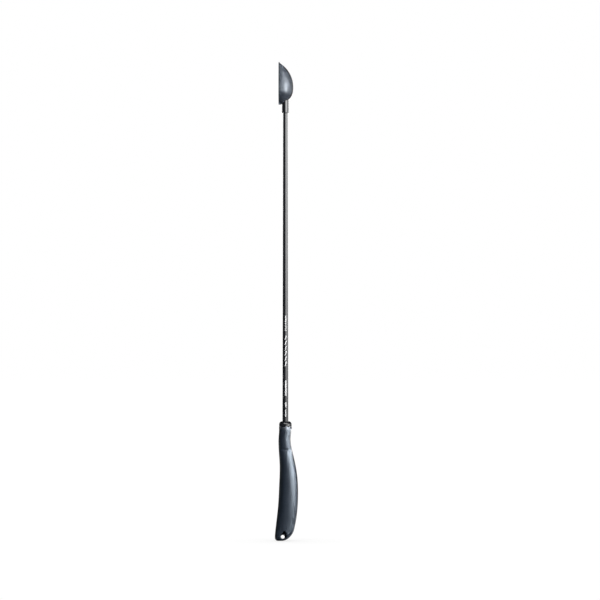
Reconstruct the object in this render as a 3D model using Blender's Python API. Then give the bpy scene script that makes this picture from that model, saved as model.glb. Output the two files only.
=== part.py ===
"""A long-handled bait ladle: a half-egg cup, a neck ferrule, a hollow tapered shaft and an S-curved grip.

Frame: +Z runs up the shaft from the grip's end to the cup's tip, the shaft's axis is the Z axis, and
the cup opens towards -X. The origin is on the shaft's axis, level with the grip's end. Metres.
"""

import math

import bmesh
import bpy

MM = 0.001

# Driving dimensions
TOTAL_LENGTH = 700 * MM
FIT_GAP = 0.3 * MM  # room between pieces that are bonded to each other
THIN_EDGE = 0.05 * MM  # what is left where a skin runs out to nothing
BORE_EDGE = 0.2 * MM  # the sharp corner taken off the mouth of a bore
FINE_SIDES = 32  # facets round the pieces that show
INNER_SIDES = 24  # facets round the plugs
SHARP_ANGLE = 35  # degrees between faces, over which an edge is drawn sharp

# Cup: a half egg, cut by the flat rim plane. Heights along it are measured down from its tip
CUP_RIM_X = -10.0 * MM
CUP_DEPTH = 21.4 * MM
CUP_HALF_WIDTH = 21.5 * MM
CUP_WIDEST = 36.0 * MM  # from the tip down to the deepest and widest section
CUP_LENGTH = 58.3 * MM
CUP_BACK_RADIUS = 41.0 * MM  # the arc of the back, from the tip to the deepest section
CUP_WALL = 1.8 * MM
CUP_FLOOR = 5.8 * MM  # thickness at the neck end, where the spigot grows out
CUP_HOLLOW_TOP = 2.6 * MM  # solid lip left at the tip
CUP_LEAST_HOLLOW = 0.3 * MM
CUP_LOWER_BACK_POWER = 2.5  # superellipse powers: 2 is an ellipse, more is squarer
CUP_LOWER_SIDE_POWER = 2.15
RIM_LIP_DEPTH = 1.6 * MM
RIM_LIP_OUT = 0.5 * MM
CUP_RINGS = 24
CUP_FACETS = 24

# Heel: the tab that carries the rim down in front of the ferrule, and the saddle beside it
HEEL_BOTTOM = 638.4 * MM
HEEL_THICKNESS = 5.0 * MM
HEEL_HALF_WIDTH = 5.0 * MM
SADDLE_BOTTOM = 640.6 * MM
SADDLE_THICKNESS = 8.0 * MM
SADDLE_HALF_WIDTH = 6.3 * MM
HEEL_TOP = 649.0 * MM  # well inside the bowl's floor
HEEL_EDGE = 1.4 * MM
SADDLE_EDGE = 2.4 * MM
ROUNDING_SHARE = 0.3  # how far in the middle point of a rounded corner stands, as a share of the corner

# Ferrule, and the cup's spigot inside it
FERRULE_RADIUS = 4.87 * MM
FERRULE_BORE = 3.6 * MM
FERRULE_TOP = 644.7 * MM
FERRULE_BOTTOM = 625.3 * MM
FERRULE_LIP = 1.6 * MM
FERRULE_LIP_TURN = 70  # degrees that the lower lip's rounding turns through
FERRULE_BEAD = 0.15 * MM  # the lower end's slight swelling
FERRULE_BEAD_TOP = 629.0 * MM
SPIGOT_BOTTOM = 635.3 * MM
SPIGOT_TOP = 647.0 * MM  # inside the heel's block

# Shaft
SHAFT_TIP = 634.6 * MM
SHAFT_BUTT = 30.0 * MM
SHAFT_RADIUS_AT_NECK = 3.3 * MM
SHAFT_NECK = 624.0 * MM
SHAFT_RADIUS_AT_COLLAR = 4.3 * MM
SHAFT_COLLAR = 177.0 * MM
SHAFT_WALL = 0.9 * MM
PLUG_LENGTH = 8.0 * MM

# Collar and trim ring
COLLAR_RADIUS = 9.1 * MM
COLLAR_TOP = 175.0 * MM
COLLAR_BOTTOM = 167.1 * MM
COLLAR_SHOULDER = 4.4 * MM
COLLAR_SHOULDER_TURN = 84  # degrees that the dome turns through before it meets the bore
COLLAR_LOWER_ROUND = 1.1 * MM
COLLAR_SPIGOT_RADIUS = 6.0 * MM
COLLAR_SPIGOT_BOTTOM = 158.5 * MM
TRIM_TOP = 166.8 * MM
TRIM_BOTTOM = 163.9 * MM
TRIM_CHAMFER = 0.35 * MM

# Grip, (height, value) pairs in millimetres. X of its front edge, from the neck down to the end's corner
GRIP_TOP = 163.6 * MM
GRIP_FRONT = (
    (170, -9.1), (163.6, -9.1), (150, -9.95), (112, -8.35),
    (80, -9.1), (52, -10.6), (22, -13.9), (8, -15.4),
)
# X of its back edge, from the neck over the palm swell
GRIP_BACK = (
    (170, 9.1), (163.6, 9.0), (150, 7.5), (139, 8.5), (118, 13.3),
    (96, 17.2), (70, 18.5), (44, 17.4), (23, 14.3), (15, 12.5),
)
# Half of its thickness across Y
GRIP_HALF_THICK = (
    (170, 9.05), (163.6, 9.05), (157, 8.95), (150, 8.45), (144, 7.75), (138.5, 7.2), (135.5, 7.1),
    (133, 7.5), (130, 8.35), (126, 9.05), (119, 9.8), (104, 10.6), (88, 11.0),
    (62, 10.7), (36, 9.0), (15, 7.2), (0, 6.8),
)
GRIP_HEEL_TOP = 15.0 * MM  # below this the back edge is a quarter of an ellipse
GRIP_HEEL_CENTRE = (-6.0 * MM, 26.0 * MM)
GRIP_HEEL_WIDTH = 20.4 * MM
GRIP_CORNER_CENTRE = (-10.9 * MM, 4.5 * MM)
GRIP_CORNER_RADIUS = 4.5 * MM
GRIP_END_ROUND = 6.0 * MM  # the end's rounding from side to side
GRIP_LOWEST_RING = 0.04 * MM
GRIP_RINGS = 30
GRIP_SECTION_POWER = 2.2

# Cover and core
COVER_NECK_WALL = 1.2 * MM
COVER_BODY_WALL = 2.0 * MM
COVER_NECK_HEIGHT = 140.0 * MM
COVER_BODY_HEIGHT = 112.0 * MM
COVER_HOLLOW_BOTTOM = 19.0 * MM
CORE_TOP = 163.3 * MM
CORE_RINGS = 18

# Lanyard eye
EYE_X = -3.85 * MM
EYE_Z = 5.9 * MM
EYE_RADIUS = 3.1 * MM
EYE_SEAT_HALF_GAP = 2.0 * MM  # the recess floor's distance from the mid plane
EYE_RECESS_CENTRE = (-1.9 * MM, 8.0 * MM)
EYE_RECESS_RADIUS = 3.9 * MM
EYE_RECESS_APEX = (-1.5 * MM, 13.9 * MM)
EYE_RECESS_APEX_RADIUS = 1.0 * MM
CUTTER_REACH = 20 * MM  # beyond the grip's sides
CUTTER_MARGIN = 2 * MM  # how far a cutter stands out of what it cuts

CUP_SLATE = ((0.025, 0.031, 0.040), 0.36, 0.0)
GRIP_SLATE = ((0.012, 0.016, 0.023), 0.38, 0.0)
GLOSS_BLACK = ((0.012, 0.012, 0.013), 0.12, 0.0)
GLOSS_SHAFT = ((0.010, 0.010, 0.011), 0.16, 0.0)
SATIN_BAND = ((0.10, 0.11, 0.12), 0.30, 0.6)
CORE_GREY = ((0.08, 0.08, 0.08), 0.55, 0.0)
PLUG_GREY = ((0.20, 0.20, 0.19), 0.70, 0.0)


def clear_scene():
    for obj in list(bpy.data.objects):
        bpy.data.objects.remove(obj)


def make_material(name, look):
    colour, roughness, metallic = look
    material = bpy.data.materials.new(name)
    material.use_nodes = True
    shader = material.node_tree.nodes["Principled BSDF"]
    shader.inputs["Base Color"].default_value = (*colour, 1.0)
    shader.inputs["Roughness"].default_value = roughness
    shader.inputs["Metallic"].default_value = metallic
    return material


def slope_at(pairs, k):
    """The slope of a curve at its k-th (height, value) pair, from the pairs on either side."""
    low, high = pairs[max(k - 1, 0)], pairs[min(k + 1, len(pairs) - 1)]
    return (high[1] - low[1]) / (high[0] - low[0])


def curve_value(points, height):
    """The value, in metres, at a height on a smooth curve through (height, value) pairs in millimetres."""
    pairs = sorted(points)
    at = min(max(height / MM, pairs[0][0]), pairs[-1][0])
    i = max(k for k in range(len(pairs) - 1) if pairs[k][0] <= at)
    span = pairs[i + 1][0] - pairs[i][0]
    t = (at - pairs[i][0]) / span
    value = (
        (2 * t**3 - 3 * t**2 + 1) * pairs[i][1]
        + (t**3 - 2 * t**2 + t) * span * slope_at(pairs, i)
        + (3 * t**2 - 2 * t**3) * pairs[i + 1][1]
        + (t**3 - t**2) * span * slope_at(pairs, i + 1)
    )
    return value * MM


def ellipse_share(distance, reach, power=2.0):
    """The height of a superellipse of height 1 at a distance from its middle. Reach is its half length."""
    return (1 - min(distance / reach, 1) ** power) ** (1 / power)


def shade(mesh):
    mesh.shade_smooth()
    mesh.set_sharp_from_angle(angle=math.radians(SHARP_ANGLE))


def build_object(name, bm, parent, material):
    bmesh.ops.recalc_face_normals(bm, faces=bm.faces)
    mesh = bpy.data.meshes.new(name)
    bm.to_mesh(mesh)
    bm.free()
    shade(mesh)
    obj = bpy.data.objects.new(name, mesh)
    bpy.context.scene.collection.objects.link(obj)
    obj.parent = parent
    if material is not None:
        mesh.materials.append(material)
    return obj


def skin(rings, closed=False):
    """A mesh over rings of equally many points.

    A closed skin joins its last ring to its first, and an open one has a cap at each end.
    """
    bm = bmesh.new()
    loops = [[bm.verts.new(point) for point in ring] for ring in rings]
    count = len(loops[0])
    pairs = list(zip(loops, loops[1:]))
    if closed:
        pairs.append((loops[-1], loops[0]))
    else:
        bm.faces.new(reversed(loops[0]))
        bm.faces.new(loops[-1])
    for low, high in pairs:
        for i in range(count):
            j = (i + 1) % count
            bm.faces.new((low[i], low[j], high[j], high[i]))
    return bm


def circle(radius, height, sides):
    turns = [2 * math.pi * i / sides for i in range(sides)]
    return [(radius * math.cos(turn), radius * math.sin(turn), height) for turn in turns]


def turned(name, profile, parent, material, sides=FINE_SIDES, closed=False):
    """A turned piece about Z from (radius, height) pairs. A closed profile is a ring, an open one a solid."""
    rings = [circle(radius, height, sides) for radius, height in profile]
    return build_object(name, skin(rings, closed), parent, material)


def arc(centre, radius, start, end, steps):
    """Points on an arc in the (radius, height) plane, between two angles in degrees."""
    angles = [math.radians(start + (end - start) * i / steps) for i in range(steps + 1)]
    return [(centre[0] + radius * math.cos(a), centre[1] + radius * math.sin(a)) for a in angles]


def prism(name, outline, axis, low, high):
    """A straight prism along axis 0, 1 or 2. Its outline holds pairs of the other two coordinates."""
    rings = []
    for level in (low, high):
        ring = []
        for first, second in outline:
            point = [first, second]
            point.insert(axis, level)
            ring.append(tuple(point))
        rings.append(ring)
    return build_object(name, skin(rings), None, None)


def cut_or_join(obj, other, operation):
    """Applies a Boolean with another object, which is then removed."""
    modifier = obj.modifiers.new(operation.lower(), "BOOLEAN")
    modifier.operation = operation
    modifier.object = other
    other.hide_render = True
    other.display_type = "WIRE"
    bpy.context.view_layer.update()
    graph = bpy.context.evaluated_depsgraph_get()
    result = bpy.data.meshes.new_from_object(obj.evaluated_get(graph))
    obj.modifiers.clear()
    obj.data = result
    shade(result)
    bpy.data.objects.remove(other)


def cup_depth(down):
    """How far the back stands behind the rim plane, at a distance down from the tip."""
    if down <= CUP_WIDEST:
        arc_offset = CUP_BACK_RADIUS - CUP_DEPTH
        return math.sqrt(CUP_BACK_RADIUS**2 - (CUP_WIDEST - down) ** 2) - arc_offset
    reach = CUP_LENGTH - CUP_WIDEST
    return CUP_DEPTH * ellipse_share(down - CUP_WIDEST, reach, CUP_LOWER_BACK_POWER)


def cup_half_width(down):
    if down <= CUP_WIDEST:
        return CUP_HALF_WIDTH * ellipse_share(CUP_WIDEST - down, CUP_WIDEST)
    reach = CUP_LENGTH - CUP_WIDEST
    return CUP_HALF_WIDTH * ellipse_share(down - CUP_WIDEST, reach, CUP_LOWER_SIDE_POWER)


def half_ellipse_ring(depth, half_width, height, front_x):
    """A D-shaped section: a half ellipse behind the rim plane, closed by a straight side at front_x."""
    ring = [(front_x, -half_width, height)]
    for i in range(CUP_FACETS + 1):
        turn = math.pi * i / CUP_FACETS
        x = CUP_RIM_X + depth * math.sin(turn)
        ring.append((x, -half_width * math.cos(turn), height))
    ring.append((front_x, half_width, height))
    return ring


def cosine_steps(first, last, count):
    """Numbers from first to last, close together at both ends."""
    return [first + (last - first) * (1 - math.cos(math.pi * i / count)) / 2 for i in range(count + 1)]


def bowl_outside():
    rings = []
    for down in cosine_steps(THIN_EDGE, CUP_LENGTH - THIN_EDGE, CUP_RINGS):
        depth = max(cup_depth(down), THIN_EDGE)
        rings.append(half_ellipse_ring(depth, cup_half_width(down), TOTAL_LENGTH - down, CUP_RIM_X))
    return skin(rings)


def bowl_hollow():
    """The cutter for the cup's hollow, which also reaches out in front of the rim plane."""
    bottom = CUP_LENGTH - CUP_FLOOR
    front = CUP_RIM_X - CUTTER_MARGIN
    rings = []
    for down in cosine_steps(CUP_HOLLOW_TOP, bottom - THIN_EDGE, CUP_RINGS):
        if down <= CUP_WIDEST:
            share = ellipse_share(CUP_WIDEST - down, CUP_WIDEST - CUP_HOLLOW_TOP + THIN_EDGE)
            half_width = (CUP_HALF_WIDTH - CUP_WALL) * share
            depth = max(cup_depth(down) - CUP_WALL, CUP_LEAST_HOLLOW)
        else:
            reach = bottom - CUP_WIDEST
            side_share = ellipse_share(down - CUP_WIDEST, reach, CUP_LOWER_SIDE_POWER)
            back_share = ellipse_share(down - CUP_WIDEST, reach, CUP_LOWER_BACK_POWER)
            half_width = (CUP_HALF_WIDTH - CUP_WALL) * side_share
            depth = (CUP_DEPTH - CUP_WALL) * back_share
        rings.append(half_ellipse_ring(depth, half_width, TOTAL_LENGTH - down, front))
    return build_object("bowl_hollow", skin(rings), None, None)


def rim_lip():
    """The flat lip round the rim, a little proud of the bowl's sides and fading out at the tip."""
    rings = []
    for down in cosine_steps(THIN_EDGE, CUP_LENGTH - THIN_EDGE, CUP_RINGS):
        proud = RIM_LIP_OUT * math.sqrt(cup_half_width(down) / CUP_HALF_WIDTH)
        width = cup_half_width(down) + proud
        back = CUP_RIM_X + min(RIM_LIP_DEPTH, max(cup_depth(down), THIN_EDGE))
        corners = ((CUP_RIM_X, -width), (back, -width), (back, width), (CUP_RIM_X, width))
        rings.append([(x, y, TOTAL_LENGTH - down) for x, y in corners])
    return build_object("rim_lip", skin(rings), None, None)


def rounded_rectangle(low, high, cut, inset, height):
    """A level rectangle, its two corners towards +X rounded by cut, drawn in on three sides by inset."""
    x0, x1 = low[0], high[0] - inset
    y0, y1 = low[1] + inset, high[1] - inset
    middle = cut * ROUNDING_SHARE
    outline = (
        (x0, y0),
        (x1 - cut, y0),
        (x1 - middle, y0 + middle),
        (x1, y0 + cut),
        (x1, y1 - cut),
        (x1 - middle, y1 - middle),
        (x1 - cut, y1),
        (x0, y1),
    )
    return [(x, y, height) for x, y in outline]


def rounded_block(name, low, high, rounding):
    """A box with its upright edges and its lower edges cut back, as a skin over rounded rectangles."""
    middle = rounding * ROUNDING_SHARE
    levels = ((rounding, low[2]), (middle, low[2] + middle), (0.0, low[2] + rounding), (0.0, high[2]))
    rings = [rounded_rectangle(low, high, rounding, inset, height) for inset, height in levels]
    return build_object(name, skin(rings), None, None)


def make_cup(parent, material):
    cup = build_object("cup_bowl", bowl_outside(), parent, material)
    cut_or_join(cup, rim_lip(), "UNION")
    heel = rounded_block(
        "heel",
        (CUP_RIM_X, -HEEL_HALF_WIDTH, HEEL_BOTTOM),
        (CUP_RIM_X + HEEL_THICKNESS, HEEL_HALF_WIDTH, HEEL_TOP),
        HEEL_EDGE,
    )
    cut_or_join(cup, heel, "UNION")
    saddle = rounded_block(
        "saddle",
        (CUP_RIM_X, -SADDLE_HALF_WIDTH, SADDLE_BOTTOM),
        (CUP_RIM_X + SADDLE_THICKNESS, SADDLE_HALF_WIDTH, HEEL_TOP),
        SADDLE_EDGE,
    )
    cut_or_join(cup, saddle, "UNION")
    room = FERRULE_RADIUS + FIT_GAP
    socket_profile = [(room, HEEL_BOTTOM - CUTTER_MARGIN), (room, FERRULE_TOP + FIT_GAP)]
    cut_or_join(cup, turned("socket", socket_profile, None, None), "DIFFERENCE")
    spigot_radius = FERRULE_BORE - FIT_GAP
    spigot_profile = [(spigot_radius, SPIGOT_BOTTOM), (spigot_radius, SPIGOT_TOP)]
    cut_or_join(cup, turned("spigot", spigot_profile, None, None), "UNION")
    cut_or_join(cup, bowl_hollow(), "DIFFERENCE")
    return cup


def make_ferrule(parent, material):
    bead = FERRULE_RADIUS + FERRULE_BEAD
    lip_centre = (bead - FERRULE_LIP, FERRULE_BOTTOM + FERRULE_LIP)
    profile = [(FERRULE_BORE, FERRULE_TOP), (FERRULE_BORE, FERRULE_BOTTOM + BORE_EDGE)]
    profile += arc(lip_centre, FERRULE_LIP, -FERRULE_LIP_TURN, 0, 4)
    profile += [(FERRULE_RADIUS, FERRULE_BEAD_TOP), (FERRULE_RADIUS, FERRULE_TOP)]
    return turned("neck_ferrule", profile, parent, material, closed=True)


def shaft_radius(height):
    share = (SHAFT_NECK - height) / (SHAFT_NECK - SHAFT_COLLAR)
    return SHAFT_RADIUS_AT_NECK + share * (SHAFT_RADIUS_AT_COLLAR - SHAFT_RADIUS_AT_NECK)


def make_shaft(parent, material):
    profile = [
        (shaft_radius(SHAFT_TIP) - SHAFT_WALL, SHAFT_TIP),
        (shaft_radius(SHAFT_BUTT) - SHAFT_WALL, SHAFT_BUTT),
        (shaft_radius(SHAFT_BUTT), SHAFT_BUTT),
        (shaft_radius(SHAFT_TIP), SHAFT_TIP),
    ]
    return turned("shaft_blank", profile, parent, material, closed=True)


def make_plug(name, end, inward, parent, material):
    """A plug flush with one end of the shaft. Inward is +1 or -1, the way along Z into the bore."""
    other = end + inward * PLUG_LENGTH
    radius = min(shaft_radius(end), shaft_radius(other)) - SHAFT_WALL - FIT_GAP
    low, high = sorted((end, other))
    return turned(name, [(radius, low), (radius, high)], parent, material, sides=INNER_SIDES)


def make_collar(parent, material):
    bore = shaft_radius(COLLAR_SPIGOT_BOTTOM) + FIT_GAP
    shoulder = (COLLAR_RADIUS - COLLAR_SHOULDER, COLLAR_TOP - COLLAR_SHOULDER)
    lower = (COLLAR_RADIUS - COLLAR_LOWER_ROUND, COLLAR_BOTTOM + COLLAR_LOWER_ROUND)
    profile = [(bore, COLLAR_TOP - BORE_EDGE), (bore, COLLAR_SPIGOT_BOTTOM)]
    profile += [(COLLAR_SPIGOT_RADIUS, COLLAR_SPIGOT_BOTTOM), (COLLAR_SPIGOT_RADIUS, COLLAR_BOTTOM)]
    profile += arc(lower, COLLAR_LOWER_ROUND, -90, 0, 3)
    profile += arc(shoulder, COLLAR_SHOULDER, 0, COLLAR_SHOULDER_TURN, 6)
    return turned("grip_collar", profile, parent, material, closed=True)


def make_trim_ring(parent, material):
    bore = COLLAR_SPIGOT_RADIUS + FIT_GAP
    profile = [
        (bore, TRIM_TOP),
        (bore, TRIM_BOTTOM),
        (COLLAR_RADIUS - TRIM_CHAMFER, TRIM_BOTTOM),
        (COLLAR_RADIUS, TRIM_BOTTOM + TRIM_CHAMFER),
        (COLLAR_RADIUS, TRIM_TOP - TRIM_CHAMFER),
        (COLLAR_RADIUS - TRIM_CHAMFER, TRIM_TOP),
    ]
    return turned("grip_trim_ring", profile, parent, material, closed=True)


def grip_front_x(height):
    centre_x, centre_z = GRIP_CORNER_CENTRE
    if height < centre_z:
        return centre_x - GRIP_CORNER_RADIUS * ellipse_share(centre_z - height, centre_z)
    return curve_value(GRIP_FRONT, height)


def grip_back_x(height):
    centre_x, centre_z = GRIP_HEEL_CENTRE
    if height < GRIP_HEEL_TOP:
        return centre_x + GRIP_HEEL_WIDTH * ellipse_share(centre_z - height, centre_z)
    return curve_value(GRIP_BACK, height)


def grip_half_thickness(height):
    end_share = ellipse_share(max(GRIP_END_ROUND - height, 0), GRIP_END_ROUND)
    return curve_value(GRIP_HALF_THICK, height) * end_share


def grip_ring(height, inset=0.0):
    """A superelliptic section of the grip, shrunk all round by inset."""
    front, back = grip_front_x(height), grip_back_x(height)
    middle = (front + back) / 2
    half_length = (back - front) / 2 - inset
    half_thick = grip_half_thickness(height) - inset
    ring = []
    for i in range(FINE_SIDES):
        turn = 2 * math.pi * i / FINE_SIDES
        along, across = math.cos(turn), math.sin(turn)
        x = middle + half_length * math.copysign(abs(along) ** (2 / GRIP_SECTION_POWER), along)
        y = half_thick * math.copysign(abs(across) ** (2 / GRIP_SECTION_POWER), across)
        ring.append((x, y, height))
    return ring


def cover_wall(height):
    share = (COVER_NECK_HEIGHT - height) / (COVER_NECK_HEIGHT - COVER_BODY_HEIGHT)
    share = min(max(share, 0.0), 1.0)
    return COVER_NECK_WALL + share * (COVER_BODY_WALL - COVER_NECK_WALL)


def even_steps(first, last, count):
    return [first + (last - first) * i / count for i in range(count + 1)]


def eye_recess(side):
    """The cutter for the teardrop recess on one side of the lanyard eye. Side is +1 or -1, the way along Y.

    The teardrop is two arcs, which their common tangents join. Each tangent touches both circles at the
    angle tight from the line between the two centres.
    """
    centre_x, centre_z = EYE_RECESS_CENTRE
    apex_x, apex_z = EYE_RECESS_APEX
    reach = math.dist(EYE_RECESS_APEX, EYE_RECESS_CENTRE)
    lean = math.degrees(math.atan2(apex_z - centre_z, apex_x - centre_x))
    tight = math.degrees(math.acos((EYE_RECESS_RADIUS - EYE_RECESS_APEX_RADIUS) / reach))
    outline = arc(EYE_RECESS_CENTRE, EYE_RECESS_RADIUS, lean + tight, lean + 360 - tight, 18)
    outline += arc(EYE_RECESS_APEX, EYE_RECESS_APEX_RADIUS, lean - tight, lean + tight, 4)
    low, high = sorted((side * EYE_SEAT_HALF_GAP, side * CUTTER_REACH))
    return prism("eye_recess", outline, 1, low, high)


def make_cover(parent, material):
    outside = [
        GRIP_LOWEST_RING + (GRIP_TOP - GRIP_LOWEST_RING) * (1 - math.cos(quarter * math.pi / 2))
        for quarter in even_steps(0, 1, GRIP_RINGS)
    ]
    rings = [grip_ring(height) for height in outside]
    hollow = even_steps(GRIP_TOP, COVER_HOLLOW_BOTTOM, CORE_RINGS)
    rings += [grip_ring(height, cover_wall(height)) for height in hollow]
    cover = build_object("grip_cover", skin(rings), parent, material)
    for side in (1, -1):
        cut_or_join(cover, eye_recess(side), "DIFFERENCE")
    eye_outline = arc((EYE_X, EYE_Z), EYE_RADIUS, 0, 360, INNER_SIDES)[:-1]
    cut_or_join(cover, prism("eye", eye_outline, 1, -CUTTER_REACH, CUTTER_REACH), "DIFFERENCE")
    return cover


def make_core(parent, material):
    low = COVER_HOLLOW_BOTTOM + FIT_GAP
    outside = even_steps(low, CORE_TOP, CORE_RINGS)
    rings = [grip_ring(height, cover_wall(height) + FIT_GAP) for height in outside]
    counterbore = COLLAR_SPIGOT_RADIUS + FIT_GAP
    shelf = COLLAR_SPIGOT_BOTTOM - FIT_GAP
    bore_bottom = SHAFT_BUTT - FIT_GAP
    for radius, height in (
        (counterbore, CORE_TOP),
        (counterbore, shelf),
        (shaft_radius(shelf) + FIT_GAP, shelf),
        (shaft_radius(bore_bottom) + FIT_GAP, bore_bottom),
    ):
        rings.append(circle(radius, height, FINE_SIDES))
    return build_object("grip_core", skin(rings), parent, material)


def main():
    clear_scene()
    ladle = bpy.data.objects.new("ladle", None)
    bpy.context.scene.collection.objects.link(ladle)
    gloss = make_material("gloss_black", GLOSS_BLACK)
    plug_grey = make_material("plug_grey", PLUG_GREY)
    make_cup(ladle, make_material("cup_slate", CUP_SLATE))
    make_ferrule(ladle, gloss)
    make_shaft(ladle, make_material("gloss_shaft", GLOSS_SHAFT))
    make_plug("shaft_tip_plug", SHAFT_TIP, -1, ladle, plug_grey)
    make_plug("shaft_butt_plug", SHAFT_BUTT, 1, ladle, plug_grey)
    make_collar(ladle, gloss)
    make_trim_ring(ladle, make_material("satin_band", SATIN_BAND))
    make_cover(ladle, make_material("grip_slate", GRIP_SLATE))
    make_core(ladle, make_material("core_grey", CORE_GREY))


main()
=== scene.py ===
"""The looks of the long-handled bait ladle: fine meshes, materials, a white studio and the camera.

Frame: metres, +Z runs up the shaft, the cup opens towards -X, and the camera looks along +Y. Azimuths of
lights are measured round the Z axis from -Y, the camera's side, towards +X.
"""

import math

import bmesh
import bpy
import numpy as np
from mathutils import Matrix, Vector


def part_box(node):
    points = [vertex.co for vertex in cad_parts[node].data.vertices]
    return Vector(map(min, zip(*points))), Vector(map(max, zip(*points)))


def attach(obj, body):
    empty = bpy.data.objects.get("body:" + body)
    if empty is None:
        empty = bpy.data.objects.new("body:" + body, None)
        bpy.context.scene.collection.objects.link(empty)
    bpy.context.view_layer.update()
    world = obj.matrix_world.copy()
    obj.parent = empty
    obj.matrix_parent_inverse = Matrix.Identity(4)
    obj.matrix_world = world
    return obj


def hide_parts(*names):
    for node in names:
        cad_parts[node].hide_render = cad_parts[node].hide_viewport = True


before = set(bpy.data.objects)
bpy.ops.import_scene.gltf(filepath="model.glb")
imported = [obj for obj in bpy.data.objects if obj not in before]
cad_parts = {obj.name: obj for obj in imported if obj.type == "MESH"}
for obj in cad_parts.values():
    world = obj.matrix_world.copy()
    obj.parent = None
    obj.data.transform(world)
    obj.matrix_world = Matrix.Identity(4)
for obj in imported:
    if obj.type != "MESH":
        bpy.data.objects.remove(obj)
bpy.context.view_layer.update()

MM = 0.001

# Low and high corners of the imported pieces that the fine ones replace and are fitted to
CUP_LOW, CUP_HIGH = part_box("cup_bowl")
FERRULE_LOW, FERRULE_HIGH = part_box("neck_ferrule")
SHAFT_LOW, SHAFT_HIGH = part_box("shaft_blank")
COLLAR_LOW, COLLAR_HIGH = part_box("grip_collar")
TRIM_LOW, TRIM_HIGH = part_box("grip_trim_ring")
COVER_LOW, COVER_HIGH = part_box("grip_cover")

FINE_SIDES = 144  # facets round the turned pieces
SHARP_ANGLE = 40  # degrees between faces, over which an edge is drawn sharp
FIT_GAP = 0.3 * MM  # room between bonded pieces
CUTTER_MARGIN = 2 * MM  # how far a cutter reaches past the face that it cuts
THIN_EDGE = 0.05 * MM  # in place of an edge or a tip of no thickness
SMOOTHING_FACTOR = 0.5

# Cup: a half egg, cut by the flat rim plane. Heights along it are measured down from its tip
CUP_TIP = CUP_HIGH.z
RIM_X = CUP_LOW.x
CUP_DEPTH = CUP_HIGH.x - RIM_X
RIM_LIP_OUT = 0.5 * MM  # past the bowl's sides
RIM_LIP_DEPTH = 1.6 * MM  # behind the rim plane
LIP_WIDTH = 1.3 * MM  # across the ring
LIP_EDGE = 0.12 * MM  # of the small slopes at its outer edges
LIP_INSET = 0.03 * MM  # of its front face, behind the rim plane
LIP_END = 0.02 * MM  # from the bowl's ends to the first and last points of the ring
CUP_HALF_WIDTH = CUP_HIGH.y - RIM_LIP_OUT
CUP_WIDEST = 36.0 * MM  # from the tip down to the deepest and widest section
CUP_LENGTH = 58.3 * MM
CUP_BACK_RADIUS = 41.0 * MM  # the arc of the back, from the tip to the deepest section
CUP_WALL = 1.8 * MM
CUP_FLOOR = 5.8 * MM
CUP_HOLLOW_TOP = 2.6 * MM
CUP_LEAST_HOLLOW = 0.3 * MM
LOWER_BACK_POWER = 2.5  # superellipse powers: 2 is an ellipse, more is squarer
LOWER_SIDE_POWER = 2.15
CUP_RINGS = 96
CUP_FACETS = 96
CUP_VOXEL = 0.32 * MM
CUP_SMOOTHING = 4

# Heel: the tab in front of the ferrule, and the saddle round it
HEEL_BOTTOM = CUP_LOW.z + 3.1 * MM  # the box reaches down to the spigot
HEEL_TOP = HEEL_BOTTOM + 10.6 * MM
HEEL_SIZE = (5.0 * MM, 5.0 * MM, 1.4 * MM)  # thickness, half width and edge radius
SADDLE_BOTTOM = HEEL_BOTTOM + 2.2 * MM
SADDLE_SIZE = (8.0 * MM, 6.3 * MM, 2.4 * MM)
EDGE_SEGMENTS = 6

# Ferrule and the cup's spigot inside it
FERRULE_RADIUS = 4.87 * MM
FERRULE_BORE = 3.6 * MM
FERRULE_LIP = 1.6 * MM
FERRULE_LIP_TURN = 70  # degrees
FERRULE_LIP_STEPS = 12
FERRULE_BEAD_LENGTH = 3.7 * MM
FERRULE_BEAD_STEPS = 8
SPIGOT_DEPTH = 9.4 * MM  # below the ferrule's top

# Shaft: one straight taper
SHAFT_RADIUS_AT_BUTT = SHAFT_HIGH.x
SHAFT_RADIUS_AT_TIP = 3.276 * MM
SHAFT_WALL = 0.9 * MM
SHAFT_STEPS = 40

# Generic printed marks on the shaft's near side. Heights are in millimetres. Sides run from -1 to 1
PRINT_THICKNESS = 0.03 * MM
PRINT_CENTRE = 6.5  # degrees round from the camera's side
PRINT_HALF_WIDTH = 24.0  # degrees
MARK_STEPS = 8
BAR_COUNT = 9
BAR_LOWEST = 307.3
BAR_PITCH = 2.55
BAR_HEIGHT = 1.75
BAR_SIDES = (-0.5, 0.5)
STROKE_COUNT = 6
STROKE_LOWEST = 255.6
STROKE_PITCH = 7.7
STROKE_HEIGHT = 6.6
STROKE_SIDES = ((-0.9, -0.1), (0.1, 1.0))  # at the bottom and at the top
# Low and high end, left and right side
BLOCKS = ((212.4, 234.8, -0.5, 0.65), (195.6, 202.6, -0.4, 0.55), (181.7, 192.2, -0.4, 0.4))

# Collar and trim ring
COLLAR_SHOULDER = 4.4 * MM
COLLAR_SHOULDER_TURN = 84  # degrees
COLLAR_SHOULDER_STEPS = 24
COLLAR_LOWER_ROUND = (0.4 * MM, 0.7 * MM)  # inwards and upwards
COLLAR_LOWER_STEPS = 12
COLLAR_BOTTOM = TRIM_HIGH.z + FIT_GAP
COLLAR_SPIGOT_RADIUS = 6.0 * MM
TRIM_EDGE = 0.2 * MM
TRIM_EDGE_STEPS = 6
TRIM_OVERLAP = 0.7 * MM  # down over the grip's rounded top edge
TRIM_PROUD = 0.15 * MM  # past the grip's side
TRIM_TOP_GAP = 0.06 * MM  # under the collar

# Grip: (height, value) pairs in millimetres. X of its front edge
GRIP_FRONT = (
    (170, -9.1), (163.6, -9.1), (150, -9.95), (112, -8.35),
    (80, -9.1), (52, -10.6), (22, -13.9), (8, -15.4),
)
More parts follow.
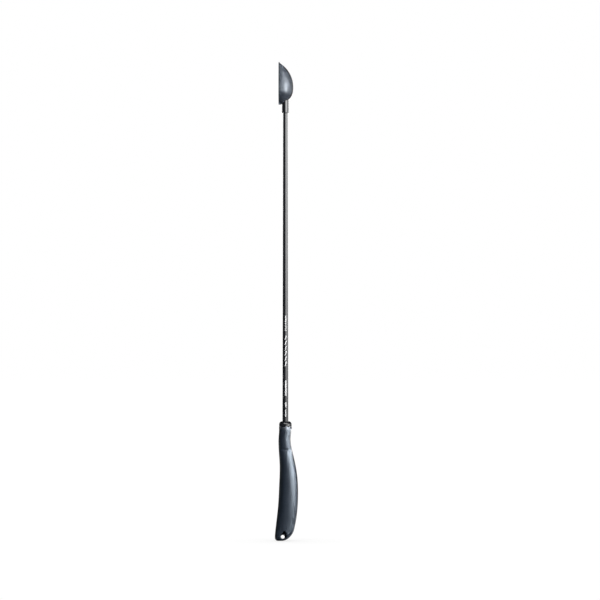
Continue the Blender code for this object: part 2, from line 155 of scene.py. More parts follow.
# X of its back edge
GRIP_BACK = (
    (170, 9.1), (163.6, 9.0), (150, 7.5), (139, 8.5), (118, 13.3),
    (96, 17.2), (70, 18.5), (44, 17.4), (23, 14.3), (15, 12.5),
)
# Half of its thickness across Y, above and below the crease of the thumb rest
GRIP_CREASE = 133.0 * MM
GRIP_NECK_THICK = (
    (170, 9.05), (163.6, 9.05), (157, 9.1), (151, 9.0), (145, 8.7), (139, 7.9), (133, 6.8),
)
GRIP_BODY_THICK = (
    (133, 6.8), (131, 7.9), (128, 8.85), (124, 9.4), (118, 9.95), (104, 10.6), (88, 11.0),
    (62, 10.7), (36, 9.0), (15, 7.2), (0, 6.8),
)
GRIP_HEEL_TOP = 15.0 * MM  # below this the back edge is a quarter of an ellipse
GRIP_HEEL_CENTRE = (-6.0 * MM, 26.0 * MM)
GRIP_HEEL_WIDTH = 20.4 * MM
GRIP_CORNER_CENTRE = (-10.9 * MM, 4.5 * MM)
GRIP_CORNER_RADIUS = 4.5 * MM
GRIP_END_ROUND = 6.0 * MM
GRIP_SECTION_POWER = 2.2
GRIP_SIDES = 192
GRIP_RINGS = 260
GRIP_VOXEL = 0.5 * MM
GRIP_SMOOTHING = 4
HOLLOW_SIDES = 64
HOLLOW_RINGS = 40
COVER_NECK_WALL = 0.7 * MM  # above the neck height
COVER_BODY_WALL = 2.0 * MM  # below the body height
COVER_NECK_HEIGHT = 140.0 * MM
COVER_BODY_HEIGHT = 112.0 * MM
COVER_HOLLOW_BOTTOM = 19.0 * MM

# Lanyard eye
EYE = (-3.85 * MM, 5.9 * MM)
EYE_RADIUS = 2.85 * MM
EYE_SEAT_HALF_GAP = 2.0 * MM
RECESS_CENTRE = (-1.9 * MM, 8.0 * MM)
RECESS_RADIUS = 3.9 * MM
RECESS_APEX = (-1.5 * MM, 13.9 * MM)
RECESS_APEX_RADIUS = 1.0 * MM
RECESS_APEX_STEPS = 12
EYE_STEPS = 72

# Moulded slate plastic with painted shade: deep corners and faces that turn away from the camera are
# painted darker
CORNER_REACH = 6.0 * MM  # how near another face has to be to darken a face
CORNER_FADE = (0.5, 0.85)  # openness at which a corner is darkest, and at which it isn't darkened
# The colour of the painted shade
PAINTED_SHADE_COLOUR = (0.001, 0.001, 0.001, 1)

# Studio
CAMERA_DISTANCE = 6.0
CAMERA_LENS = 246.1
CAMERA_AIM = (21.4 * MM, 352.4 * MM)
CAMERA_SENSOR = 36.0
CAMERA_CLIP = 100.0
FLOOR_REACH = 12.0
FLOOR_SHADOW_REACH = 0.12
FLOOR_SHADOW_SAMPLES = 8
FLOOR_SHADOW_DEPTH = 0.45
FLOOR_DARKEST = 0.56
SHEET_COLUMNS = 36
SHEET_ROWS = 16
FIRST_AZIMUTH = 60  # degrees before the camera's side, where azimuths wrap round

# Faint light from the front and from both sides, and none from behind. Pairs are (azimuth, share)
AMBIENT = 0.09
AMBIENT_COLOUR = (0.62, 0.78, 1.0, 1)
AMBIENT_ACROSS = ((-60, 1.0), (10, 1.0), (70, 0.5), (120, 0.0), (236, 0.0), (254, 1.0), (300, 1.0))

# Curved light sheets round the object. Each lights only the pieces it names. Radius is at the sheet's
# lower and upper edge. Across pairs are (azimuth in degrees, share of the full strength), and up pairs
# are (height in metres, share)
SHEETS = {
    "sheet_shaft": dict(
        radius=(1.20, 1.20),
        strength=6.8,
        pieces=("shaft", "shaft_print"),
        across=(
            (-4, 0.0), (3, 0.4), (12, 0.75), (38, 1.0),
            (70, 0.85), (105, 0.45), (140, 0.1), (176, 0.0),
        ),
        up=(
            (-0.2, 0.1), (0.12, 0.3), (0.22, 0.5), (0.4, 0.8),
            (0.6, 1.0), (0.74, 1.2), (1.0, 0.6), (1.4, 0.3),
        ),
    ),
    "sheet_ferrule": dict(
        radius=(1.22, 1.22),
        strength=9.0,
        pieces=("ferrule",),
        across=((-4, 0.0), (6, 0.4), (26, 1.0), (44, 0.9), (62, 0.4), (84, 0.25), (120, 0.3), (160, 0.0)),
        up=((-0.2, 0.1), (0.12, 0.3), (0.4, 0.8), (0.74, 1.0), (1.0, 0.6), (1.4, 0.3)),
    ),
    "sheet_collar": dict(
        radius=(1.24, 1.24),
        strength=4.5,
        pieces=("collar",),
        across=((0, 0.0), (20, 0.35), (45, 0.7), (64, 1.0), (80, 0.6), (100, 0.15), (150, 0.05)),
        up=((-0.3, 0.2), (0.1, 1.0), (0.3, 1.0), (0.5, 0.3), (0.8, 0.0)),
    ),
    "sheet_dome": dict(
        radius=(1.24, 1.24),
        strength=5.5,
        pieces=("collar",),
        across=((-40, 0.0), (-26, 1.0), (30, 1.0), (48, 0.5), (75, 0.0)),
        up=((0.65, 0.0), (0.95, 1.0), (1.5, 1.0), (1.9, 0.0)),
    ),
    "sheet_grip": dict(
        radius=(1.26, 1.26),
        strength=19.0,
        pieces=("grip_skin", "trim"),
        across=((8, 0.0), (18, 0.3), (32, 0.8), (45, 1.0), (60, 0.95), (76, 0.45), (94, 0.1), (120, 0.0)),
        up=(
            (-0.5, 0.0), (-0.3, 0.05), (-0.14, 0.24), (0.0, 0.55),
            (0.1, 0.85), (0.3, 1.0), (1.5, 1.0), (1.9, 0.3),
        ),
    ),
    "sheet_neck": dict(
        radius=(0.10, 0.10),
        strength=24.0,
        pieces=("grip_skin",),
        across=((62, 0.0), (90, 1.0), (150, 1.0), (168, 0.0)),
        up=((0.152, 0.0), (0.16, 1.0), (0.175, 1.0), (0.185, 0.0)),
    ),
    "sheet_cup": dict(
        radius=(1.32, 1.32),
        strength=33.0,
        pieces=("cup", "cup_lip"),
        across=(
            (-50, 0.0), (-20, 0.03), (28, 0.09), (49, 0.28), (58, 1.0),
            (65, 1.0), (73, 0.25), (92, 0.04), (150, 0.02),
        ),
        up=(
            (-0.6, 0.0), (-0.1, 0.05), (0.2, 0.25), (0.5, 0.85),
            (0.74, 1.0), (0.95, 0.5), (1.3, 0.22), (2.2, 0.15),
        ),
    ),
    "sheet_top": dict(
        radius=(1.3, 0.2),
        strength=1.6,
        pieces=("cup", "cup_lip"),
        across=((-60, 1.0), (120, 1.0)),
        up=((1.9, 0.0), (2.1, 1.0), (2.5, 1.0)),
    ),
    "sheet_hollow": dict(
        radius=(1.34, 1.34),
        strength=6.0,
        pieces=("cup", "cup_lip"),
        across=((200, 0.0), (214, 0.8), (235, 1.0), (254, 0.8), (266, 0.0)),
        up=((-0.8, 0.3), (0.2, 0.6), (0.9, 1.0), (1.6, 1.0), (2.4, 0.0)),
    ),
    "sheet_back": dict(
        radius=(1.38, 1.38),
        strength=7.0,
        pieces=("shaft", "shaft_print", "ferrule"),
        across=((168, 0.0), (173, 0.8), (187, 0.8), (192, 0.0)),
        up=((-1.0, 0.3), (0.0, 0.6), (0.7, 1.0), (1.4, 0.7), (2.0, 0.0)),
    ),
    "sheet_bounce": dict(
        radius=(1.2, 6.0),
        strength=3.0,
        pieces=("shaft", "shaft_print", "ferrule", "collar", "trim", "grip_skin"),
        across=((100, 0.0), (130, 1.0), (165, 0.9), (200, 0.75), (240, 0.75), (268, 0.0)),
        up=((-1.0, 0.7), (-0.8, 1.0), (-0.7, 0.6), (-0.6, 0.0)),
    ),
}


def ellipse_share(distance, reach, power=2.0):
    """The height of a superellipse of height 1 at a distance from its middle. Reach is its half length."""
    return (1 - min(distance / reach, 1) ** power) ** (1 / power)


def smooth_curve(pairs):
    """A function from height to value, both in metres: the natural cubic spline through pairs in mm."""
    heights, values = np.array(sorted(pairs), float).T * MM
    gaps = np.diff(heights)
    slopes = np.diff(values) / gaps
    system = np.eye(len(heights))
    right = np.zeros(len(heights))
    for k in range(1, len(heights) - 1):
        system[k, k - 1 : k + 2] = gaps[k - 1], 2 * (gaps[k - 1] + gaps[k]), gaps[k]
        right[k] = 6 * (slopes[k] - slopes[k - 1])
    bends = np.linalg.solve(system, right)

    def value(height):
        at = min(max(height, heights[0]), heights[-1])
        k = min(int(np.searchsorted(heights, at, "right")) - 1, len(gaps) - 1)
        a = (heights[k + 1] - at) / gaps[k]
        b = 1 - a
        curve = ((a**3 - a) * bends[k] + (b**3 - b) * bends[k + 1]) * gaps[k] ** 2 / 6
        return float(a * values[k] + b * values[k + 1] + curve)

    return value


grip_front_curve = smooth_curve(GRIP_FRONT)
grip_back_curve = smooth_curve(GRIP_BACK)
grip_neck_curve = smooth_curve(GRIP_NECK_THICK)
grip_body_curve = smooth_curve(GRIP_BODY_THICK)


def cosine_steps(first, last, count):
    """Numbers from first to last, close together at both ends."""
    return [first + (last - first) * (1 - math.cos(math.pi * i / count)) / 2 for i in range(count + 1)]


def shade(mesh):
    mesh.shade_smooth()
    mesh.set_sharp_from_angle(angle=math.radians(SHARP_ANGLE))


def new_object(name, mesh):
    obj = bpy.data.objects.new(name, mesh)
    bpy.context.scene.collection.objects.link(obj)
    return obj


def solid(name, rings, closed=False):
    """A piece over rings of equally many points. A closed one joins its last ring to its first."""
    count = len(rings[0])
    faces = []
    if not closed:
        faces = [list(range(count))[::-1], [count * (len(rings) - 1) + i for i in range(count)]]
    bands = len(rings) if closed else len(rings) - 1
    for level in range(bands):
        low = level * count
        high = (level + 1) % len(rings) * count
        for i in range(count):
            j = (i + 1) % count
            faces.append((low + i, low + j, high + j, high + i))
    mesh = bpy.data.meshes.new(name)
    mesh.from_pydata([point for ring in rings for point in ring], [], faces)
    bm = bmesh.new()
    bm.from_mesh(mesh)
    bmesh.ops.recalc_face_normals(bm, faces=bm.faces)
    bm.to_mesh(mesh)
    bm.free()
    shade(mesh)
    return new_object(name, mesh)


def apply_modifiers(obj):
    bpy.context.view_layer.update()
    graph = bpy.context.evaluated_depsgraph_get()
    result = bpy.data.meshes.new_from_object(obj.evaluated_get(graph))
    obj.modifiers.clear()
    obj.data = result
    shade(result)


def cut_or_join(obj, other, operation):
    modifier = obj.modifiers.new(operation, "BOOLEAN")
    modifier.operation = operation
    modifier.object = other
    apply_modifiers(obj)
    bpy.data.objects.remove(other)


def soften(obj, voxel, rounds):
    """Remeshes a piece evenly, so that its sharp edges turn into the small fillets of a moulding."""
    remesh = obj.modifiers.new("remesh", "REMESH")
    remesh.mode = "VOXEL"
    remesh.voxel_size = voxel
    smooth = obj.modifiers.new("smooth", "SMOOTH")
    smooth.factor = SMOOTHING_FACTOR
    smooth.iterations = rounds
    apply_modifiers(obj)


def circle(radius, height, sides=FINE_SIDES):
    turns = [2 * math.pi * i / sides for i in range(sides)]
    return [(radius * math.cos(turn), radius * math.sin(turn), height) for turn in turns]


def turned(name, profile, closed=True):
    """A turned piece about Z from (radius, height) pairs. A closed profile makes a ring."""
    return solid(name, [circle(radius, height) for radius, height in profile], closed)


def arc(centre, radii, start, end, steps):
    """Points on an elliptic arc in a plane, between two angles in degrees. Radii are across and up."""
    angles = [math.radians(start + (end - start) * i / steps) for i in range(steps + 1)]
    return [(centre[0] + radii[0] * math.cos(a), centre[1] + radii[1] * math.sin(a)) for a in angles]


def cup_depth(down):
    """How far the back stands behind the rim plane, at a distance down from the tip."""
    if down <= CUP_WIDEST:
        arc_offset = CUP_BACK_RADIUS - CUP_DEPTH
        return math.sqrt(CUP_BACK_RADIUS**2 - (CUP_WIDEST - down) ** 2) - arc_offset
    return CUP_DEPTH * ellipse_share(down - CUP_WIDEST, CUP_LENGTH - CUP_WIDEST, LOWER_BACK_POWER)


def cup_half_width(down):
    if down <= CUP_WIDEST:
        return CUP_HALF_WIDTH * ellipse_share(CUP_WIDEST - down, CUP_WIDEST)
    return CUP_HALF_WIDTH * ellipse_share(down - CUP_WIDEST, CUP_LENGTH - CUP_WIDEST, LOWER_SIDE_POWER)


def half_ellipse_ring(depth, half_width, height, front_x):
    """A D-shaped section: a half ellipse behind the rim plane, closed by a straight side at front_x."""
    ring = [(front_x, -half_width, height)]
    for i in range(CUP_FACETS + 1):
        turn = math.pi * i / CUP_FACETS
        ring.append((RIM_X + depth * math.sin(turn), -half_width * math.cos(turn), height))
    ring.append((front_x, half_width, height))
    return ring


def bowl_outside():
    rings = []
    for down in cosine_steps(THIN_EDGE, CUP_LENGTH - THIN_EDGE, CUP_RINGS):
        depth = max(cup_depth(down), THIN_EDGE)
        rings.append(half_ellipse_ring(depth, cup_half_width(down), CUP_TIP - down, RIM_X))
    return solid("cup", rings)


def bowl_hollow():
    """The cutter for the cup's hollow, which also reaches out in front of the rim plane."""
    bottom = CUP_LENGTH - CUP_FLOOR
    rings = []
    for down in cosine_steps(CUP_HOLLOW_TOP, bottom - THIN_EDGE, CUP_RINGS):
        if down <= CUP_WIDEST:
            share = ellipse_share(CUP_WIDEST - down, CUP_WIDEST - CUP_HOLLOW_TOP + THIN_EDGE)
            depth = max(cup_depth(down) - CUP_WALL, CUP_LEAST_HOLLOW)
        else:
            share = ellipse_share(down - CUP_WIDEST, bottom - CUP_WIDEST, LOWER_SIDE_POWER)
            back_share = ellipse_share(down - CUP_WIDEST, bottom - CUP_WIDEST, LOWER_BACK_POWER)
            depth = (CUP_DEPTH - CUP_WALL) * back_share
        half_width = (CUP_HALF_WIDTH - CUP_WALL) * share
        rings.append(half_ellipse_ring(depth, half_width, CUP_TIP - down, RIM_X - CUTTER_MARGIN))
    return solid("bowl_hollow", rings)


def make_lip():
    """The flat lip: a ring round the rim that stands a little proud of the bowl's sides."""
    steps = cosine_steps(LIP_END, CUP_LENGTH - LIP_END, CUP_RINGS)
    outline = [(-cup_half_width(down), down) for down in steps]
    outline += [(cup_half_width(down), down) for down in reversed(steps)]
    front, back = RIM_X + LIP_INSET, RIM_X + RIM_LIP_DEPTH
    section = ((front, LIP_EDGE), (front + LIP_EDGE, 0.0), (back - LIP_EDGE, 0.0), (back, LIP_EDGE))
    section += ((back, LIP_WIDTH), (front, LIP_WIDTH))
    rings = []
    for i, (y, down) in enumerate(outline):
        before, after = outline[i - 1], outline[(i + 1) % len(outline)]
        along_y, along_down = after[0] - before[0], after[1] - before[1]
        length = math.hypot(along_y, along_down)
        out_y, out_down = along_down / length, -along_y / length
        ring = []
        for x, inset in section:
            move = RIM_LIP_OUT - inset
            ring.append((x, y - out_y * move, CUP_TIP - down + out_down * move))
        rings.append(ring)
    return solid("cup_lip", rings, closed=True)


def rounded_block(name, bottom, size):
    """A block behind the rim plane, from bottom up to the heel's top, with rounded edges."""
    thickness, half_width, radius = size
    front = RIM_X - 2 * radius
    rings = []
    for height in (bottom, HEEL_TOP):
        corners = ((front, -half_width), (RIM_X + thickness, -half_width))
        corners += ((RIM_X + thickness, half_width), (front, half_width))
        rings.append([(x, y, height) for x, y in corners])
    block = solid(name, rings)
    bevel = block.modifiers.new("edges", "BEVEL")
    bevel.width = radius
    bevel.segments = EDGE_SEGMENTS
    apply_modifiers(block)
    return block


def front_cutter():
    """Everything in front of the rim plane."""
    reach = CUP_DEPTH + CUP_HALF_WIDTH
    rings = []
    for height in (HEEL_BOTTOM - CUTTER_MARGIN, CUP_TIP + CUTTER_MARGIN):
        corners = ((RIM_X - reach, -reach), (RIM_X, -reach), (RIM_X, reach), (RIM_X - reach, reach))
        rings.append([(x, y, height) for x, y in corners])
    return solid("front_cutter", rings)


def make_cup():
    cup = bowl_outside()
    cut_or_join(cup, rounded_block("heel", HEEL_BOTTOM, HEEL_SIZE), "UNION")
    cut_or_join(cup, rounded_block("saddle", SADDLE_BOTTOM, SADDLE_SIZE), "UNION")
    room = FERRULE_RADIUS + FIT_GAP
    socket = [(room, HEEL_BOTTOM - CUTTER_MARGIN), (room, FERRULE_HIGH.z + FIT_GAP)]
    cut_or_join(cup, turned("socket", socket, closed=False), "DIFFERENCE")
    spigot_radius = FERRULE_BORE - FIT_GAP
    spigot = [(spigot_radius, FERRULE_HIGH.z - SPIGOT_DEPTH), (spigot_radius, HEEL_TOP - CUTTER_MARGIN)]
    cut_or_join(cup, turned("spigot", spigot, closed=False), "UNION")
    cut_or_join(cup, bowl_hollow(), "DIFFERENCE")
    cut_or_join(cup, front_cutter(), "DIFFERENCE")
    soften(cup, CUP_VOXEL, CUP_SMOOTHING)
    return cup


def make_ferrule():
    bead_radius = FERRULE_HIGH.x
    lip_centre = (bead_radius - FERRULE_LIP, FERRULE_LOW.z + FERRULE_LIP)
    profile = [(FERRULE_BORE, FERRULE_HIGH.z), (FERRULE_BORE, FERRULE_LOW.z + THIN_EDGE)]
    profile += arc(lip_centre, (FERRULE_LIP, FERRULE_LIP), -FERRULE_LIP_TURN, 0, FERRULE_LIP_STEPS)
    for i in range(FERRULE_BEAD_STEPS + 1):
        share = i / FERRULE_BEAD_STEPS
        fade = (1 + math.cos(math.pi * share)) / 2
        radius = FERRULE_RADIUS + (bead_radius - FERRULE_RADIUS) * fade
        profile.append((radius, FERRULE_LOW.z + FERRULE_LIP + share * FERRULE_BEAD_LENGTH))
    profile.append((FERRULE_RADIUS, FERRULE_HIGH.z))
    return turned("ferrule", profile)


def shaft_radius(height):
    share = (height - SHAFT_LOW.z) / (SHAFT_HIGH.z - SHAFT_LOW.z)
    return SHAFT_RADIUS_AT_BUTT + share * (SHAFT_RADIUS_AT_TIP - SHAFT_RADIUS_AT_BUTT)


def make_shaft():
    low, high = SHAFT_LOW.z, SHAFT_HIGH.z
    levels = [low + (high - low) * i / SHAFT_STEPS for i in range(SHAFT_STEPS + 1)]
    profile = [(shaft_radius(z) - SHAFT_WALL, z) for z in reversed(levels)]
    profile += [(shaft_radius(z), z) for z in levels]
    return turned("shaft", profile)


def make_collar():
    radius = COLLAR_HIGH.x
    bore = shaft_radius(COLLAR_LOW.z) + FIT_GAP
    inwards, upwards = COLLAR_LOWER_ROUND
    profile = [(bore, COLLAR_HIGH.z), (bore, COLLAR_LOW.z)]
    profile += [(COLLAR_SPIGOT_RADIUS, COLLAR_LOW.z), (COLLAR_SPIGOT_RADIUS, COLLAR_BOTTOM)]
    lower = (radius - inwards, COLLAR_BOTTOM + upwards)
    profile += arc(lower, COLLAR_LOWER_ROUND, -90, 0, COLLAR_LOWER_STEPS)
    shoulder = (radius - COLLAR_SHOULDER, COLLAR_HIGH.z - COLLAR_SHOULDER)
    shoulder_radii = (COLLAR_SHOULDER, COLLAR_SHOULDER)
    profile += arc(shoulder, shoulder_radii, 0, COLLAR_SHOULDER_TURN, COLLAR_SHOULDER_STEPS)
    return turned("collar", profile)


def make_trim():
    radius = TRIM_HIGH.x + TRIM_PROUD
    bore = COLLAR_SPIGOT_RADIUS + FIT_GAP
    low, high = TRIM_LOW.z - TRIM_OVERLAP, COLLAR_BOTTOM - TRIM_TOP_GAP
    edge = (TRIM_EDGE, TRIM_EDGE)
    profile = [(bore, high), (bore, low)]
    profile += arc((radius - TRIM_EDGE, low + TRIM_EDGE), edge, -90, 0, TRIM_EDGE_STEPS)
    profile += arc((radius - TRIM_EDGE, high - TRIM_EDGE), edge, 0, 90, TRIM_EDGE_STEPS)
    return turned("trim", profile)


def grip_front_x(height):
    centre_x, centre_z = GRIP_CORNER_CENTRE
    if height < centre_z:
        return centre_x - GRIP_CORNER_RADIUS * ellipse_share(centre_z - height, centre_z)
    return grip_front_curve(height)


def grip_back_x(height):
    centre_x, centre_z = GRIP_HEEL_CENTRE
    if height < GRIP_HEEL_TOP:
        return centre_x + GRIP_HEEL_WIDTH * ellipse_share(centre_z - height, centre_z)
    return grip_back_curve(height)


def grip_half_thickness(height):
    end_share = ellipse_share(max(GRIP_END_ROUND - height, 0), GRIP_END_ROUND)
    curve = grip_neck_curve if height > GRIP_CREASE else grip_body_curve
    return curve(height) * end_share


def grip_ring(height, sides, inset=0.0):
    """A superelliptic section of the grip, shrunk all round by inset."""
    front, back = grip_front_x(height), grip_back_x(height)
    middle = (front + back) / 2
    half_length = (back - front) / 2 - inset
    half_thick = grip_half_thickness(height) - inset
    ring = []
    for i in range(sides):
        turn = 2 * math.pi * i / sides
        along, across = math.cos(turn), math.sin(turn)
        x = middle + half_length * math.copysign(abs(along) ** (2 / GRIP_SECTION_POWER), along)
        y = half_thick * math.copysign(abs(across) ** (2 / GRIP_SECTION_POWER), across)
        ring.append((x, y, height))
    return ring


def cover_wall(height):
    share = (COVER_NECK_HEIGHT - height) / (COVER_NECK_HEIGHT - COVER_BODY_HEIGHT)
    return COVER_NECK_WALL + min(max(share, 0.0), 1.0) * (COVER_BODY_WALL - COVER_NECK_WALL)


def prism(name, outline, low, high):
    """A straight prism along Y, over an outline of (x, z) pairs."""
    return solid(name, [[(x, y, z) for x, z in outline] for y in (low, high)])


def eye_recess(side):
    """The cutter for the teardrop recess on one side of the eye: two arcs and their common tangents."""
    reach = math.dist(RECESS_APEX, RECESS_CENTRE)
    lean = math.degrees(math.atan2(RECESS_APEX[1] - RECESS_CENTRE[1], RECESS_APEX[0] - RECESS_CENTRE[0]))
    tight = math.degrees(math.acos((RECESS_RADIUS - RECESS_APEX_RADIUS) / reach))
    wide_radii = (RECESS_RADIUS, RECESS_RADIUS)
    apex_radii = (RECESS_APEX_RADIUS, RECESS_APEX_RADIUS)
    outline = arc(RECESS_CENTRE, wide_radii, lean + tight, lean + 360 - tight, EYE_STEPS)
    outline += arc(RECESS_APEX, apex_radii, lean - tight, lean + tight, RECESS_APEX_STEPS)
    low, high = sorted((side * EYE_SEAT_HALF_GAP, side * (COVER_HIGH.y + CUTTER_MARGIN)))
    return prism("eye_recess", outline, low, high)


def make_cover():
    top = COVER_HIGH.z
    bottom = COVER_LOW.z
    rings = []
    for i in range(GRIP_RINGS + 1):
        share = 1 - math.cos(math.pi / 2 * i / GRIP_RINGS)
        rings.append(grip_ring(bottom + (top - bottom) * share, GRIP_SIDES))
    cover = solid("grip_skin", rings)
    hollow = []
    for i in range(HOLLOW_RINGS + 1):
        height = COVER_HOLLOW_BOTTOM + (top - COVER_HOLLOW_BOTTOM) * i / HOLLOW_RINGS
        hollow.append(grip_ring(height, HOLLOW_SIDES, cover_wall(height)))
    hollow.append([(x, y, top + CUTTER_MARGIN) for x, y, _ in hollow[-1]])
    cut_or_join(cover, solid("hollow", hollow), "DIFFERENCE")
    for side in (1, -1):
        cut_or_join(cover, eye_recess(side), "DIFFERENCE")
    reach = COVER_HIGH.y + CUTTER_MARGIN
    eye = arc(EYE, (EYE_RADIUS, EYE_RADIUS), 0, 360, EYE_STEPS)[:-1]
    cut_or_join(cover, prism("eye", eye, -reach, reach), "DIFFERENCE")
    soften(cover, GRIP_VOXEL, GRIP_SMOOTHING)
    return cover


# ---- Materials ----


class Painter:
    """Builds one procedural material on a Principled BSDF."""

    def __init__(self, name):
        self.material = bpy.data.materials.new(name)
        self.material.use_nodes = True
        self.tree = self.material.node_tree
        self.shader = self.tree.nodes["Principled BSDF"]
        coordinates = self.tree.nodes.new("ShaderNodeTexCoord")
        self.place = coordinates.outputs["Object"]

    def node(self, kind, **inputs):
        made = self.tree.nodes.new(kind)
        for name, value in inputs.items():
            self.feed(made.inputs[name.replace("_", " ")], value)
        return made

    def feed(self, socket, value):
        if isinstance(value, bpy.types.NodeSocket):
            self.tree.links.new(value, socket)
        else:
            socket.default_value = value

    def set(self, **inputs):
        for name, value in inputs.items():
            self.feed(self.shader.inputs[name.replace("_", " ")], value)

    def stretched(self, scale):
        mapping = self.node("ShaderNodeMapping", Vector=self.place, Scale=scale)
        return mapping.outputs["Vector"]

    def noise(self, scale, detail=2.0, roughness=0.5, vector=None):
        made = self.node(
            "ShaderNodeTexNoise",
            Vector=vector or self.place,
            Scale=scale,
            Detail=detail,
            Roughness=roughness,
        )
        return made.outputs["Fac"]

    def between(self, factor, low, high, start=0.3, end=0.7):
        """Spreads a factor over a range of numbers. Noise is mostly from 0.3 to 0.7."""
        made = self.node("ShaderNodeMapRange", Value=factor)
        for name, value in (("From Min", start), ("From Max", end), ("To Min", low), ("To Max", high)):
            made.inputs[name].default_value = value
        return made.outputs["Result"]

    def product(self, first, second):
        made = self.node("ShaderNodeMath")
        made.operation = "MULTIPLY"
        self.feed(made.inputs[0], first)
        self.feed(made.inputs[1], second)
        return made.outputs[0]

    def blend(self, factor, first, second):
        """A mix of two colours. Sockets 6, 7 and 2 are the node's two colours and its colour result."""
        mix = self.tree.nodes.new("ShaderNodeMix")
        mix.data_type = "RGBA"
        self.feed(mix.inputs[0], factor)
        self.feed(mix.inputs[6], first)
        self.feed(mix.inputs[7], second)
        return mix.outputs[2]

    def bump(self, height, distance, strength=1.0, under=None):
        made = self.node("ShaderNodeBump", Height=height, Distance=distance, Strength=strength)
        if under is not None:
            self.feed(made.inputs["Normal"], under)
        return made.outputs["Normal"]


def slate_moulding(name, dark, light, roughness, grain_depth, tint, shade_slants):
    """Satin slate plastic with a fine moulded grain, and painted shade: darker in corners and where it
    turns away.

    Shade slants are the two slants, from 0 face-on to 1 edge-on, between which the painted shade darkens
    it.
    """
    paint = Painter(name)
    mottle = paint.between(paint.noise(420.0, 3.0, 0.6), 0.0, 1.0)
    grain = paint.noise(1700.0, 3.0, 0.65)
    swell = paint.noise(520.0, 1.0)
    coarse = paint.bump(swell, grain_depth * 2.2, 0.6)
    # Painted shade: deep corners and faces turned away from the camera get a darker colour and weaker
    # reflections
    corner = paint.node("ShaderNodeAmbientOcclusion", Distance=CORNER_REACH)
    facing_shade = paint.node("ShaderNodeLayerWeight", Blend=0.5)
    unshaded_share = paint.product(
        paint.between(corner.outputs["AO"], 0.0, 1.0, *CORNER_FADE),
        paint.between(facing_shade.outputs["Facing"], 1.0, 0.1, *shade_slants),
    )
    colour = paint.blend(mottle, (*dark, 1), (*light, 1))
    paint.set(
        Base_Color=paint.blend(unshaded_share, PAINTED_SHADE_COLOUR, colour),
        Roughness=paint.between(paint.noise(900.0, 2.0), roughness - 0.05, roughness + 0.06),
        Specular_IOR_Level=paint.product(unshaded_share, 0.6),
        Specular_Tint=tint,
        Normal=paint.bump(grain, grain_depth, 0.8, coarse),
    )
    return paint.material


def gloss_black(name):
    """Black enamel under a clear coat, with a faint orange peel."""
    paint = Painter(name)
    peel = paint.bump(paint.noise(260.0, 1.0), 0.006 * MM, 0.5)
    specks = paint.between(paint.noise(2400.0, 2.0, 0.7), 0.09, 0.16)
    paint.set(
        Base_Color=paint.blend(paint.noise(90.0), (0.008, 0.008, 0.009, 1), (0.014, 0.014, 0.016, 1)),
        Roughness=specks,
        Coat_Weight=0.6,
        Coat_Roughness=0.05,
        Normal=peel,
    )
    return paint.material


def gloss_shaft():
    """Wound carbon tube under a clear coat: near black, with faint fibres along the shaft."""
    paint = Painter("gloss_shaft")
    fibres = paint.noise(1.0, 3.0, 0.6, paint.stretched((2600.0, 2600.0, 60.0)))
    windings = paint.noise(1.0, 1.0, 0.5, paint.stretched((90.0, 90.0, 60.0)))
    streaks = paint.between(fibres, 0.0, 1.0)
    paint.set(
        Base_Color=paint.blend(streaks, (0.006, 0.006, 0.007, 1), (0.016, 0.016, 0.018, 1)),
        Roughness=paint.between(fibres, 0.14, 0.24),
        Coat_Weight=0.4,
        Coat_Roughness=0.08,
        Normal=paint.bump(windings, 0.01 * MM, 0.1),
    )
    return paint.material


def satin_band():
    """Dark anodised aluminium with fine turning marks round it."""
    paint = Painter("satin_band")
    marks = paint.noise(1.0, 2.0, 0.6, paint.stretched((30.0, 30.0, 5200.0)))
    paint.set(
        Base_Color=paint.blend(marks, (0.065, 0.072, 0.084, 1), (0.105, 0.115, 0.13, 1)),
        Metallic=0.85,
        Roughness=paint.between(marks, 0.36, 0.48),
        Normal=paint.bump(marks, 0.01 * MM, 0.5),
    )
    return paint.material


def print_ink():
    paint = Painter("print_ink")
    patches = paint.between(paint.noise(1500.0, 3.0, 0.7), 0.0, 1.0)
    paint.set(
        Base_Color=paint.blend(patches, (0.62, 0.62, 0.62, 1), (0.76, 0.76, 0.75, 1)),
        Roughness=paint.between(paint.noise(900.0), 0.3, 0.45),
        Normal=paint.bump(paint.noise(2600.0), 0.004 * MM, 0.5),
    )
    return paint.material


def hidden_plastic(name, dark, light, roughness):
    """Plain moulded plastic or rubber for the pieces inside."""
    paint = Painter(name)
    flow = paint.noise(1.0, 3.0, 0.6, paint.stretched((220.0, 220.0, 45.0)))
    paint.set(
        Base_Color=paint.blend(paint.between(flow, 0.0, 1.0), (*dark, 1), (*light, 1)),
        Roughness=paint.between(paint.noise(800.0), roughness - 0.08, roughness + 0.08),
        Normal=paint.bump(paint.noise(1300.0, 2.0), 0.03 * MM, 0.6),
    )
    return paint.material


# ---- Printed marks ----


def mark_point(across, height, lift):
    """A point on the shaft's near side. Across runs from -1 to 1 over the width of the printed strip."""
    turn = math.radians(PRINT_CENTRE + across * PRINT_HALF_WIDTH)
    radius = shaft_radius(height) + lift
    return (radius * math.sin(turn), -radius * math.cos(turn), height)


def mark(low, high, bottom_sides, top_sides):
    """A thin patch of ink bent round the shaft, from a height in mm to another, between two sides."""
    rings = []
    for i in range(MARK_STEPS + 1):
        share = i / MARK_STEPS
        height = (low + (high - low) * share) * MM
        left, right = (b + (t - b) * share for b, t in zip(bottom_sides, top_sides))
        places = [left + (right - left) * j / MARK_STEPS for j in range(MARK_STEPS + 1)]
        ring = [mark_point(place, height, PRINT_THICKNESS) for place in places]
        ring += [mark_point(place, height, -PRINT_THICKNESS) for place in reversed(places)]
        rings.append(ring)
    return solid("mark", rings)


